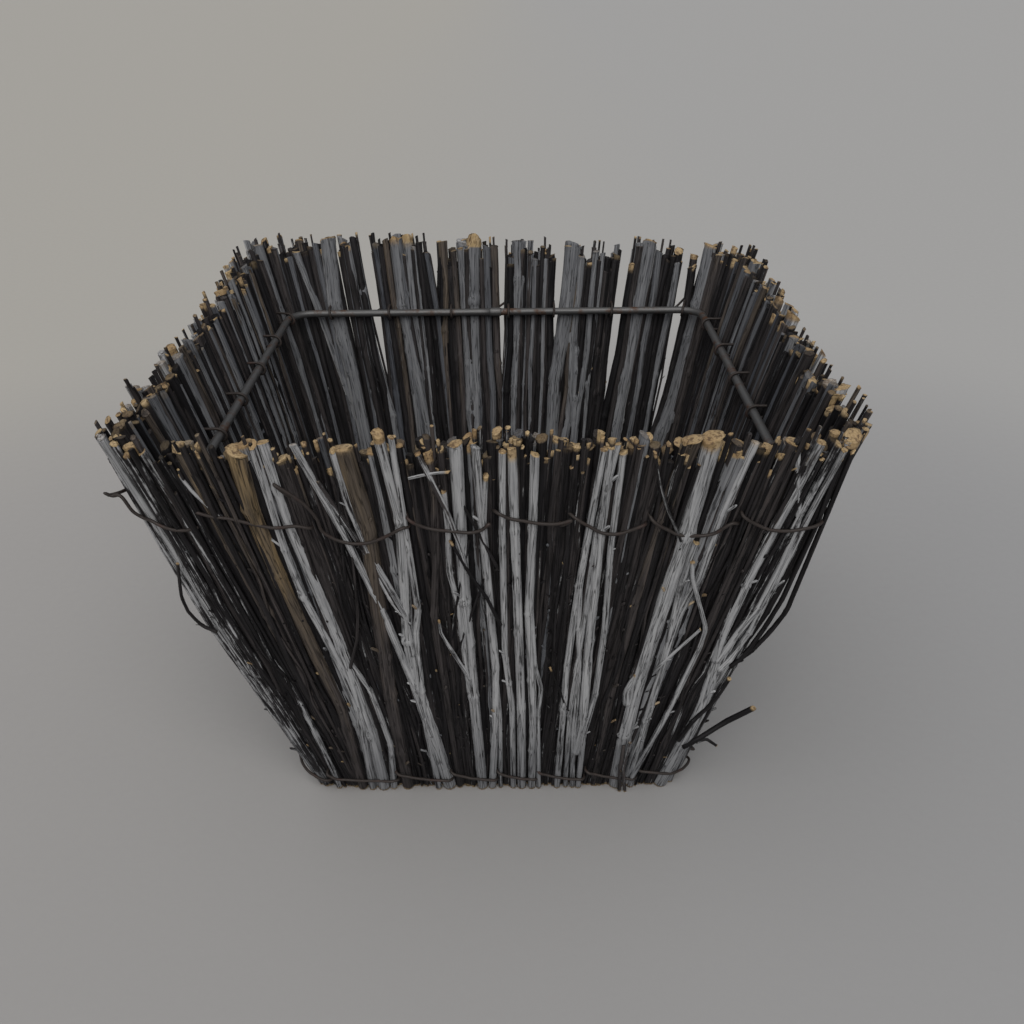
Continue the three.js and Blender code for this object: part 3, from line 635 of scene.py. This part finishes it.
# Sticks that stand out on the front, and on the inside of the back. Each has its thickness at the foot
# and at the butt, its paint, its tone, how deep it lies, and the places that it passes: how far along
# the side from its middle, seen from outside, and how high. All lengths are in millimetres.
known_pale_sticks = {
    "front_left_corner_sticks": [
        (3.4, 2.6, 0.7, 0.3, 0.2, [(-63, 0.6), (-68, 19), (-75, 39), (-87, 80), (-94, 112), (-99.5, 145)]),
        (2.9, 2.3, 0.65, 0.2, 0.3, [(-61, 0.8), (-64, 13), (-75.5, 57), (-86, 97), (-90, 126), (-94, 147)]),
        (2.2, 2.4, 0.7, 0.2, 0.2, [(-56, 1), (-57, 11), (-63, 48), (-72, 81), (-84.5, 132), (-89, 149)]),
        (1.4, 1.4, 0.8, 0.3, -0.3, [(-72.5, 127), (-78, 135.5), (-81, 142)]),
        (1.1, 0.9, 0.05, 0.4, -1.2, [(-82.5, 81), (-87, 82), (-90, 88), (-90.5, 95), (-87.5, 110)]),
    ],
    "front_pale_sticks_1": [
        (3.4, 5.6, 0.12, 0.93, -0.9, [(-47.5, 0.5), (-50, 45), (-61, 105), (-64, 130), (-64.5, 149)]),
        (2.8, 2.4, 0.95, 0.3, 0, [(-44, 0.4), (-44.5, 45), (-47.5, 65), (-55, 96), (-57.5, 115), (-60, 151)]),
        (4.6, 3.2, 1, 0.3, -0.2, [(-40, 0.6), (-41.5, 31), (-47.5, 80), (-55, 124), (-57.5, 151.5)]),
        (2.6, 1, 0.9, 0.3, 0.1, [(-36.5, 0.6), (-35.5, 25), (-39.5, 53), (-44.5, 67), (-50.5, 101)]),
        (1.1, 0.8, 0.3, 0.5, -0.3, [(-44.5, 65), (-41, 78), (-39.5, 89), (-38.5, 112)]),
    ],
    "front_pale_sticks_2": [
        (2.6, 2.2, 0.95, 0.3, -0.2, [(-21.5, 30), (-25, 54), (-32, 89), (-40.5, 122), (-49.5, 151)]),
        (1.8, 2, 0.9, 0.3, -0.1, [(-24.5, 70), (-25.5, 88), (-34, 114), (-37.5, 130), (-39.5, 149)]),
        (1.6, 1.5, 0.7, 0.4, 0.2, [(-24.5, 84), (-29.5, 95), (-35, 114), (-45, 139)]),
        (4.6, 3, 1, 0.3, -0.1, [(-16.5, 0.6), (-24.5, 54), (-25.5, 77), (-24, 125), (-27.5, 153.5)]),
        (2.4, 1.8, 0.95, 0.3, -0.2, [(-20.5, 0.5), (-23, 40), (-23, 80), (-21.5, 90), (-24, 153)]),
    ],
    "front_pale_sticks_3": [
        (3.8, 3.6, 1, 0.3, -0.2, [(-5, 0.5), (-6.5, 50), (-7.5, 94), (-7.5, 150.5)]),
        (2.8, 2.3, 1, 0.3, 0, [(-1.5, 0.4), (0.5, 38), (1, 64), (0, 88), (-2.5, 149.5)]),
        (2, 1.6, 0.95, 0.3, 0.1, [(-7.5, 52), (-9.5, 92), (-11.5, 105), (-11, 122), (-11.5, 135)]),
        (1.5, 1.6, 0.7, 0.4, -0.6, [(-6.5, 108), (-7.5, 114), (-10.5, 127), (-17.5, 148)]),
        (1.2, 0.9, 0, 0.1, -0.9, [(3, 84), (-1, 96), (-5, 104), (-10.5, 118)]),
        (1.5, 0.8, 0.8, 0.3, -0.5, [(-7, 59), (-14, 77), (-15.5, 81), (-15.5, 86)]),
        (0.9, 0.9, 0.8, 0.2, -0.4, [(-20.5, 140), (-15, 141.5), (-9.5, 142)]),
        (1.6, 1.5, 0.9, 0.3, 0.3, [(1.5, 0.5), (2, 38), (1, 64), (-1, 122), (0, 140)]),
    ],
    "front_pale_sticks_4": [
        (2.2, 2, 0.95, 0.3, 0.1, [(6, 0.4), (6, 44), (4, 70), (4, 120), (4.5, 148)]),
        (3.3, 2.6, 1, 0.3, -0.2, [(9, 0.5), (9, 44), (8, 99), (7, 149)]),
        (2.8, 2.5, 1, 0.3, -0.2, [(12.5, 0.4), (13, 37), (11.5, 88), (12.5, 122), (13, 147)]),
        (1.7, 1.2, 0.95, 0.3, -0.1, [(15, 0.4), (14.5, 40), (15.5, 54), (13.5, 64), (12, 96)]),
    ],
    "front_pale_sticks_5": [
        (2.3, 2, 0.95, 0.3, 0, [(21.5, 0.4), (23.5, 64), (26, 99), (31, 148.5)]),
        (3.6, 2.6, 1, 0.3, -0.3, [(27.5, 20), (29.5, 37), (30, 76), (31.5, 120), (33, 149)]),
        (2.1, 2, 0.95, 0.3, -0.1, [(29, 0.4), (30, 30), (33, 51), (34.5, 80), (34.5, 113), (36, 147.5)]),
        (2, 1.5, 0.95, 0.3, 0.1, [(27, 0.4), (26.5, 30), (27.5, 64), (26.5, 81), (26.5, 99), (28.5, 122)]),
        (1.8, 1.7, 0.9, 0.3, 0.3, [(24.5, 0.5), (25, 40), (28.5, 90), (30.5, 124), (34.5, 150)]),
    ],
    "front_pale_sticks_6": [
        (5.4, 5.5, 1, 0.3, -0.3, [(42.5, 0.6), (44, 30), (46.5, 57), (55.5, 119), (59, 151.5)]),
        (2.7, 2.2, 0.95, 0.3, 0, [(47.5, 0.6), (50.5, 37), (56.5, 87), (61, 103), (64.5, 126), (70, 150)]),
        (1.9, 1.3, 0.9, 0.35, -0.7, [(47.5, 6), (57, 41), (64, 73), (65, 81.5), (58.5, 103), (58, 109)]),
        (2.6, 2, 0.9, 0.3, 0.1, [(45.5, 2), (51.5, 44), (54, 70), (56, 100), (58.5, 116)]),
        (1.1, 1, 0.85, 0.3, -0.2, [(51, 62), (54, 67), (63.5, 81)]),
        (1, 1, 0.5, 0.3, -0.7, [(54, 117), (49, 129), (46, 138), (44, 148)]),
        (3, 1.6, 1, 0.4, -0.6, [(43.5, 46), (43, 52), (45.5, 60.5)]),
        (1.4, 1.3, 0.5, 0.8, -2, [(43.5, 0.4), (43, 12), (43.5, 26)]),
        (1.2, 1.2, 0.6, 0.8, -2.2, [(45.5, 0.4), (44, 14), (45.5, 28)]),
    ],
    "front_right_corner_sticks": [
        (3, 2.6, 0.95, 0.35, 0, [(70, 66), (70.5, 75), (75, 99), (80, 121), (87, 150)]),
        (2.6, 2, 0.95, 0.35, -0.2, [(70.5, 66), (75, 78), (80.5, 90), (84, 108), (86, 123), (81, 148)]),
        (2.2, 1.9, 0.85, 0.35, -0.3, [(71.5, 62), (74.5, 67), (79, 79), (83, 97), (89, 129), (93, 147.5)]),
        (5.6, 4.2, 0.95, 0.35, -0.3, [(59, 0.5), (61, 8), (66, 27), (69.5, 41), (71.5, 70)]),
        (3, 2.2, 0.9, 0.3, 0.2, [(62.5, 0.5), (66, 28), (69.5, 50), (73.5, 72)]),
        (1.7, 1.4, 0.1, 0.2, -0.8, [(74.5, 64), (81, 69), (85.5, 76.5), (89, 85.5), (92, 111), (94.5, 147)]),
        (1.5, 1.4, 0.3, 0.2, -0.2, [(75, 63), (80, 69.5), (84, 77.5), (87.5, 90), (91.5, 122), (92.5, 145)]),
        (1.6, 5, 0.3, 0.3, 0, [(82, 73), (86, 84), (89.5, 101), (93.5, 131.5), (96, 150.5)]),
        (1.6, 1.4, 0.3, 0.3, -0.8, [(62, 27), (65.5, 37), (71.5, 47), (75, 58)]),
        (1.7, 2.1, 0.1, 0.1, -1.5, [(63.5, 23.5), (67.5, 26.5), (77, 32), (85.5, 40)]),
        (1.3, 1, 0.5, 0.3, -1.6, [(67.5, 26), (71.5, 22.5), (75.5, 18)]),
    ],
    # The sticks on the inside of the back have paint over 1, the blue-grey wash, which is partly painted
    # shade of the inside.
    "back_right_corner_sticks": [
        (4.6, 5.4, 1.6, 0.3, 0.9, [(-56, 0.5), (-65, 40), (-74.5, 71), (-80, 86), (-89, 126), (-93, 150)]),
    ],
    "back_pale_sticks_1": [(4.8, 6.2, 1.34, 0.3, 0.4, [(-42, 0.5), (-54, 77), (-66.5, 151)])],
    "back_pale_sticks_2": [(3.4, 4.4, 1.6, 0.3, 1.3, [(-30, 0.5), (-34.5, 86), (-34.5, 149)])],
    "back_pale_sticks_3": [(2.6, 3, 1.7, 0.3, 2, [(-14, 0.5), (-18, 95), (-20, 148)])],
    "back_pale_sticks_4": [(4.8, 6.6, 1.6, 0.3, 0.2, [(8, 0.5), (9.5, 128), (9, 153)])],
    "back_pale_sticks_5": [
        (4, 5.4, 1.34, 0.3, 0.6, [(25, 0.5), (31.5, 76), (40, 124), (42.5, 152)]),
        (3.8, 4.8, 1.32, 0.3, 0.6, [(19.5, 0.5), (27.5, 75), (35, 124), (37.5, 153.5)]),
    ],
    "back_pale_sticks_6": [
        (4.8, 6.4, 1.5, 0.3, 0.2, [(49, 0.5), (58, 60), (64, 98), (70, 128), (71.5, 154)]),
        (2.8, 3.6, 1.45, 0.3, 1.7, [(43, 0.5), (53.5, 80), (60, 125), (63, 150)]),
        (2.6, 3.2, 1.34, 0.3, 1.9, [(50, 20), (60, 69), (77, 125), (85.5, 149)]),
    ],
}


def pale_bundle(node, name):
    """Its known sticks, and on every side but the front thick and thin white ones. Then those behind:
    blue-grey and bare thick ones, a row that closes the wall, and fine twigs. The blue grey is a thin wash
    with painted shade of the inside."""
    skin = Skin()
    stations = cell(node)
    side = name.split("_")[0]
    for foot, butt, paint, tone, depth, places in known_pale_sticks.get(node, []):
        spine = on_side(2 * (side == "back"), places, max(foot, butt) * mm, depth - 0.5)
        stick(skin, spine, foot * mm, butt * mm, paint, tone)
    if side != "front":
        kind = chance.integers(3)
        if kind == 0:
            scatter(skin, stations, 1, (5.2, 6.6), (0.5, 0.55), (0.95, 1), (0.3, 0.4), 0.35, (0, 2))
            scatter(skin, stations, 3, (1.6, 2.8), (0.1, 0.3), (0.8, 1), (0.2, 0.4), 0.8)
        elif kind == 1:
            scatter(skin, stations, 2, (3.4, 4.4), (0.35, 0.42), (0.95, 1), (0.3, 0.4), 0.45, (0, 2))
            scatter(skin, stations, 3, (1.8, 2.6), (0.1, 0.3), (0.8, 1), (0.2, 0.4), 0.8)
        else:
            scatter(skin, stations, 6, (1.9, 3.0), (0.15, 0.35), (0.9, 1), (0.2, 0.4), 0.9, gather=0.35)
    if "corner" in node:
        scatter(skin, stations, 6, (1.6, 2.6), (0.24, 0.34), (0.45, 1), (0.1, 0.5), 0.4, (0, 4), 0, 0.08)
    short = chance.uniform(0, 2.5)
    # The paint of the blue-grey inner sticks, set for each side as painted shade: darker on the right wall
    # than on the left.
    inner_wash_shade = {"left": (1.6, 2.05), "right": (1.9, 2.3)}.get(side, (1.65, 2.1))
    tops = short, short + 5
    scatter(skin, stations, 2, (2.8, 4.4), (0.6, 0.65), inner_wash_shade, (0.2, 0.9), 0.5, tops, 0.1, fresh=0.3)
    scatter(skin, stations, 2, (2.0, 3.2), (0.68, 0.8), (0, 0.3), (0.3, 0.8), 0.5, tops, 0.1, fresh=0.3)
    scatter(skin, stations, 0, (2.4, 3.4), (0.5, 0.62), (0, 0.3), (0, 0.5), 0.3, (3, 10), 0, 0.04, 0.2, 2.3)
    tops = short - 3.5, 8
    scatter(skin, stations, 6, (0.9, 1.6), (0.36, 0.5), (0, 0.5), (0.1, 0.6), 0.7, tops, fresh=0.65)
    return skin.make(name, white_bark, "pale_sticks", node)


for side, corner, pairs in zip(side_names, corner_names, pairs_on_side):
    pale_bundle(f"{corner}_corner_sticks", f"{corner}_corner_bundle")
    for n in range(1, pairs):
        pale_bundle(f"{side}_pale_sticks_{n}", f"{side}_pale_bundle_{n}")

# Dark bundles. Between the pale ones stand tighter bundles of a dozen or more thin twigs in their own
# near-black bark, 1 to 3 mm thick, with a brown or olive stick here and there. Thin side twigs stray
# across them, and their snipped ends make a row of small tan dots at the rim.
dark_bark = bark("dark_bark")

# The brown sticks that stand out on the front, in the same form as the pale ones.
brown_front_sticks = {
    "front_dark_sticks_2": [
        (4, 5.2, 0.1, 0.8, -0.4, [(-31.5, 0.5), (-33.5, 52), (-33.5, 122), (-37, 149.5)]),
    ],
    "front_dark_sticks_3": [
        (2.2, 2.6, 0.1, 0.62, 0.4, [(-13, 0.5), (-17, 88), (-15, 110), (-14, 134), (-15, 148)]),
    ],
    "front_dark_sticks_6": [
        (3.6, 4.8, 0.1, 0.7, 0.5, [(35, 0.5), (38.5, 52), (43, 92), (48, 124), (54, 150.5)]),
    ],
    "front_dark_sticks_7": [
        (2.6, 4.6, 0.1, 0.6, 0.5, [(55, 0.5), (62, 52), (68, 92), (74, 124), (80.5, 149.5)]),
    ],
}


def dark_bundle(node, name):
    """Twigs in front, a row that closes the wall, a few thick sticks on its inside, fine twigs in the
    gaps, now and then a brown stick, and loose side twigs over them."""
    skin = Skin()
    stations = cell(node)
    for foot, butt, paint, tone, depth, places in brown_front_sticks.get(node, []):
        spine = on_side(0, places, max(foot, butt) * mm, depth - 0.5)
        stick(skin, spine, foot * mm, butt * mm, paint, tone)
    short = chance.uniform(0, 3)
    scatter(skin, stations, 6, (1.1, 2.1), (0.26, 0.44), (0, 0.45), (0.1, 0.6), 0.5, (short - 1, short + 6))
    scatter(skin, stations, 0, (2.4, 3.4), (0.5, 0.62), (0, 0.3), (0, 0.5), 0.3, (3, 11), 0, 0.04, 0.2, 2.3)
    tops = short, short + 6
    scatter(skin, stations, 2, (2.0, 3.2), (0.66, 0.82), (0, 0.3), (0, 0.6), 0.5, tops, fresh=0.3)
    # These inner sticks take the blue-grey wash: a thin wash with painted shade of the inside.
    scatter(skin, stations, 2, (2.2, 3.4), (0.62, 0.7), (1.75, 2.2), (0, 0.5), 0.5, tops, fresh=0.3)
    tops = short - 4, 14
    scatter(skin, stations, 8, (0.8, 1.3), (0.18, 0.36), (0, 0.5), (0.1, 0.7), 0.8, tops, fresh=0.7)
    if chance.random() < 0.4:
        scatter(skin, stations, 1, (3.0, 4.2), (0.5, 0.55), (0, 0.2), (0.55, 0.85), 0.3, (short, short + 2))
    start, end = stations
    for _ in range(chance.choice([0, 1, 1, 2])):
        from_z = chance.uniform(8, 110) * mm
        to_z = from_z + chance.uniform(18, 42) * mm
        at = start + (end - start) * chance.uniform(0.1, 0.9)
        drift = chance.uniform(-0.07, 0.07)
        share = np.linspace(0, 1, 5)
        z = from_z + (to_z - from_z) * share
        depth = (0.35 - 0.5 * np.sin(share * math.pi)) * mm
        spine = on_wall(z, depth, at + drift * share)
        stick(skin, spine, 1.0 * mm, 0.7 * mm, chance.choice([0, 0.2, 0.8]), 0.3, 1.2, 0.5)
    return skin.make(name, dark_bark, "dark_sticks", node)


for side, pairs in zip(side_names, pairs_on_side):
    for n in range(1, pairs + 1):
        dark_bundle(f"{side}_dark_sticks_{n}", f"{side}_dark_bundle_{n}")

# Lashings. One soft annealed 1 mm wire runs round the basket at each frame and ties every bundle to
# it. It crosses a dark and a pale bundle on the outside, sagging a little, dives between the sticks
# below the rod, turns up round it and comes out above it. The upper wire's ends are loose, at the
# front left corner, and the lower wire's are twisted together at the back right.
wire_radius = 0.5 * mm
wire_turn = rod_radius + wire_radius + 0.15 * mm
wire_outside = -0.8 * mm
upper_sag = 3.4 * mm
lower_sag = 0.7 * mm
tail_length = 11.5 * mm
tail_twist = 9 * mm


def annealed_wire():
    recipe = Recipe("annealed_wire", Metallic=0.35)
    grain = recipe.attribute("grain")
    scale = recipe.noise(grain, 900, 4, 0.6)
    worn = recipe.between(recipe.noise(grain, 160, 4, 0.6), 0.5, 0.72)
    oxide = recipe.mix(scale, (0.018, 0.015, 0.014), (0.055, 0.043, 0.038))
    rust = recipe.mix(scale, (0.035, 0.018, 0.015), (0.075, 0.041, 0.033))
    roughness = recipe.between(scale, 0.3, 0.7, 0.5, 0.75)
    return recipe.finish(recipe.mix(worn, oxide, rust), roughness, scale, 0.1 * mm)


def wire_skin(skin, bends, step=0.55 * mm):
    bends = np.asarray(bends, float)
    path = curve_through(bends, np.arange(0, step_lengths(bends).sum(), step))
    ends = np.minimum(1, 0.55 + np.minimum(np.arange(len(path)), np.arange(len(path))[::-1]) * 0.4)
    skin.tube(path, wire_radius * ends, 8, (0, 0, 1))


# The upper wire's course over the front, loop by loop from the left: how far along from the middle,
# and how high. Then its two loose ends at the left corner, as x, y and z. All in millimetres.
front_loops = (
    [(-94.5, 125), (-91.5, 125.5), (-88.5, 124), (-85.5, 123), (-82.5, 123), (-79.5, 124)],
    [(-79, 129.5), (-75.5, 128), (-70.5, 127), (-63, 124.5), (-59, 123.5), (-52.5, 124)],
    [(-56, 138.5), (-49, 131.5), (-46.5, 126.5), (-45.5, 122), (-43, 119.5), (-38.5, 117.5)]
    + [(-34, 117.5), (-29, 119.5), (-23, 123)],
    [(-21.5, 126), (-17, 123), (-9.5, 121.5), (-4.5, 121), (-1.5, 122), (0.5, 124)],
    [(3.5, 127.5), (6, 126), (10, 125), (14.5, 124), (20, 124), (23, 125)],
    [(24.5, 125.5), (28.5, 122.5), (31.5, 120.5), (36, 120), (40, 121.5), (42, 122.5)],
    [(45.5, 124.5), (49.5, 121.5), (53, 119.5), (57.5, 119), (62, 119.5), (67.5, 123.5)],
    [(70, 126), (74, 123), (78, 121), (83, 120.5), (87, 121), (90.5, 121.5)],
)
first_end = [(-104.5, -93.5, 133.5), (-102.5, -92.5, 132), (-101, -93, 132.5), (-97.5, -92.5, 126.5)]
last_end = [(-100.5, -81.5, 129), (-101, -87, 131), (-102, -91, 132), (-104.5, -92.5, 132)]


def tail_strand(z, station, hand):
    """One of the two ends that are twisted together, from the wall outwards."""
    outwards = on_wall(z, wire_outside, math.floor(station) + 0.5) * (1, 1, 0)
    outwards = unit(unit(outwards) + np.array([0, 0, 0.4]))
    sideways = unit(np.cross((0, 0, 1), outwards))
    over = np.cross(outwards, sideways)
    root = on_wall(z, wire_outside, station)
    apart = wire_radius * 1.1
    share = np.linspace(0, 1, 12)[:, None]
    turn = share * 1.5 * 2 * math.pi
    out = tail_length - tail_twist * (1 - share)
    apart_now = apart * (1 + 0.5 * (1 - share))
    strand = root + outwards * out + sideways * (apart + hand * apart_now * np.cos(turn))
    return strand + over * hand * apart_now * np.sin(turn)


def passes_between(first_side):
    """The stations where a wire starts, where it passes in between the bundles, and where it ends."""
    tail = cell(f"{corner_names[first_side]}_corner_sticks")[0] - 0.02
    passes = [tail]
    for side in (*range(first_side, 4), *range(first_side)):
        for n in range(pairs_on_side[side]):
            pale = f"{side_names[side]}_pale_sticks_{n}" if n else f"{corner_names[side]}_corner_sticks"
            after = cell(f"{side_names[side]}_dark_sticks_{n + 1}")[0]
            passes.append((cell(pale)[1] + after) / 2 + 8 * (side < first_side))
    return [*passes, tail + 8]


def round_the_rod(rod_height, station, coming_out):
    """A wire's way in below the rod, up round the inside of it, and out above it. coming_out are its
    last depths, as shares of the rod's."""
    depth = rod_depth(rod_height)
    going_in = rod_height - wire_turn - np.array([0.1, 0, 0]) * mm
    turn = np.linspace(-80, 80, 6) * math.pi / 180
    return [
        *on_wall(going_in, depth * np.array([0.02, 0.35, 0.75]), station),
        *on_wall(rod_height + wire_turn * np.sin(turn), depth + wire_turn * np.cos(turn), station),
        *on_wall(rod_height + wire_turn, depth * np.array(coming_out), station),
    ]


def lashing(rod_height, sag, first_side, loops, name, node):
    """A running wire that starts and ends at the corner before its first side. It takes the course of
    the loops while there are any, and after that it hangs evenly."""
    high, low = rod_height + wire_turn, rod_height - wire_turn
    passes = passes_between(first_side)
    tail = passes[0]
    bends = list(np.array(first_end) * mm if loops else tail_strand(high, tail, 1)[::-1])
    for n, (here, there) in enumerate(zip(passes[:-1], passes[1:])):
        if n < len(loops):
            bends += list(on_side(0, loops[n], 2 * wire_radius, (wire_outside - wire_radius) / mm))
        else:
            crossing = np.linspace(0.14 if here == tail else 0.05, 0.95, 9)
            slack = chance.uniform(0.8, 1.25) * sag
            z = high + (low - high) * crossing - slack * 4 * crossing * (1 - crossing)
            out = wire_outside - 0.3 * mm * np.sin(crossing * math.pi) + chance.normal(0, 0.08 * mm, 9)
            at = here + (there - here) * crossing
            bends += list(splayed(on_wall(z, out, at), at, 0.9))
        coming_out = [0.75] if n + 1 < len(loops) else [0.75, 0.35, 0.02]
        bends += round_the_rod(rod_height, there, coming_out)
    if loops:
        bends += list(np.array(last_end) * mm)
    else:
        bends += [on_wall(high, wire_outside - 0.8 * mm, tail), *tail_strand(high, tail, -1)]
    skin = Skin()
    wire_skin(skin, bends)
    return skin.make(name, wire, "lashing_wire", node)


wire = annealed_wire()
lashing(upper_rod_height, upper_sag, 0, front_loops, "upper_lashing", "upper_lashing_wire")
lashing(lower_rod_height, lower_sag, 2, (), "lower_lashing", "lower_lashing_wire")

# Floor. Seven or eight straight sticks in each of three rafts lie from front to back on the lower
# frame. They are the same bark as the walls, with only a little whitewash from the brush.
floor_bark = bark("floor_bark")
for side in ("left", "middle", "right"):
    low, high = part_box(f"floor_sticks_{side}")
    skin = Skin()
    x = low.x
    while x < high.x - 4 * mm:
        width = min(chance.uniform(4.6, 6.2) * mm, high.x - x)
        centre = x + width / 2
        run, radius = outline(low.z)
        inside = radius - wall_thickness_at(high.z) - clearance
        into_corner = max(abs(centre) + width / 2 - run, 0)
        reach = run + math.sqrt(max(inside**2 - into_corner**2, 0)) - chance.uniform(0.3, 3) * mm
        share = np.linspace(-1, 1, 6)
        z = low.z + width / 2 + 0.05 * mm + 0 * share
        spine = np.stack([centre + chance.normal(0, 0.12, 6) * mm, share * reach, z], 1)
        stick(skin, spine, width * 0.97, width, chance.uniform(0.2, 0.6), chance.uniform(0.2, 0.9), 0.7, 0.05)
        x += width
    skin.make(f"floor_raft_{side}", floor_bark, "floor_sticks", f"floor_sticks_{side}")

# Floor lashing. A third length of the same wire ties the rafts down to the cross rod, once round it
# at each edge of the floor and between the rafts.
low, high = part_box("floor_lashing_wire")
edges = [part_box(f"floor_sticks_{side}") for side in ("left", "middle", "right")]
gaps = [low.x + wire_radius]
gaps += [(left[1].x + right[0].x) / 2 for left, right in zip(edges, edges[1:])]
gaps += [high.x - wire_radius]
above = edges[0][1].z + clearance + wire_radius
bends = []
for n, x in enumerate(gaps):
    turn = np.linspace(0, 180, 9) * math.pi / 180
    y = wire_turn * np.cos(turn)
    z = cross_rod_height - wire_turn * np.sin(turn)
    if n > 0:
        bends += [(x - 1.2 * mm, wire_turn - 0.3 * mm, above), (x, wire_turn, above - 1.4 * mm)]
        bends += [(x, wire_turn, (above + cross_rod_height) / 2)]
    bends += [(x, *place) for place in zip(y, z)]
    if n < 3:
        bends += [(x, -wire_turn, (above + cross_rod_height) / 2), (x, -wire_turn, above - 1.4 * mm)]
        bends += [(x + 1.2 * mm, -wire_turn + 0.3 * mm, above)]
skin = Skin()
wire_skin(skin, bends)
skin.make("floor_lashing", wire, "lashing_wire", "floor_lashing_wire")

# Table top. The basket stands on a pale sheet in the soft light of a room: an even glow from all round, and
# two wide soft lights, from above and from in front. The sheet's colour holds painted light and shade: it is
# lighter away from the basket and darker to the right.
mesh = bpy.data.meshes.new("table_top")
spokes = 96
turns = np.arange(spokes) / spokes * 2 * math.pi
rings = [0.12, 0.3, 0.6, 1.2, 3.0, 14.0]
points = [(0, 0, 0)]
faces = []
for n, reach in enumerate(rings):
    points += [(reach * math.cos(t), reach * math.sin(t), 0) for t in turns]
    for k in range(spokes):
        here = 1 + spokes * n + k
        after = 1 + spokes * n + (k + 1) % spokes
        faces.append((0, here, after) if n == 0 else (here - spokes, here, after, after - spokes))
mesh.from_pydata(points, [], faces)
table = placed("table_top", mesh)
recipe = Recipe("pale_sheet")
place = recipe.node("TexCoord", {}, "Object")
shade_to_right = recipe.between(recipe.node("SeparateXYZ", {"Vector": place}), -0.45, 0.35)
distance = recipe.node("VectorMath", {0: place}, "Value", operation="LENGTH")
paper = recipe.noise(place, 220, 4, 0.6)
# Painted light and shade: the sheet is darker near the basket and to the right, and lighter far off and to
# the left.
near = recipe.mix(shade_to_right, (0.362, 0.349, 0.337), (0.330, 0.329, 0.332))
far = recipe.mix(shade_to_right, (0.425, 0.409, 0.374), (0.40, 0.396, 0.388))
mesh.materials.append(
    recipe.finish(
        recipe.mix(recipe.between(distance, 0.26, 0.52), near, far),
        recipe.between(paper, 0.3, 0.7, 0.7, 0.85),
        paper,
        0.05 * mm,
    )
)

world = bpy.data.worlds.new("room")
bpy.context.scene.world = world
world.use_nodes = True
glow = world.node_tree.nodes["Background"].inputs
glow["Color"].default_value = (0.93, 0.95, 1.0, 1)
glow["Strength"].default_value = 0.34
for name, place, spread, power in (
    ("soft_light_above", (-0.4, -0.35, 1.0), 70, 0.78),
    ("soft_light_in_front", (0.15, -1.0, 0.95), 50, 1.45),
):
    light = placed(name, bpy.data.lights.new(name, "SUN"))
    light.data.angle = math.radians(spread)
    light.data.energy = power
    light.data.color = (1.0, 0.98, 0.95)
    light.matrix_world = Vector(place).to_track_quat("Z", "Y").to_matrix().to_4x4()
bpy.context.scene.view_settings.view_transform = "Standard"
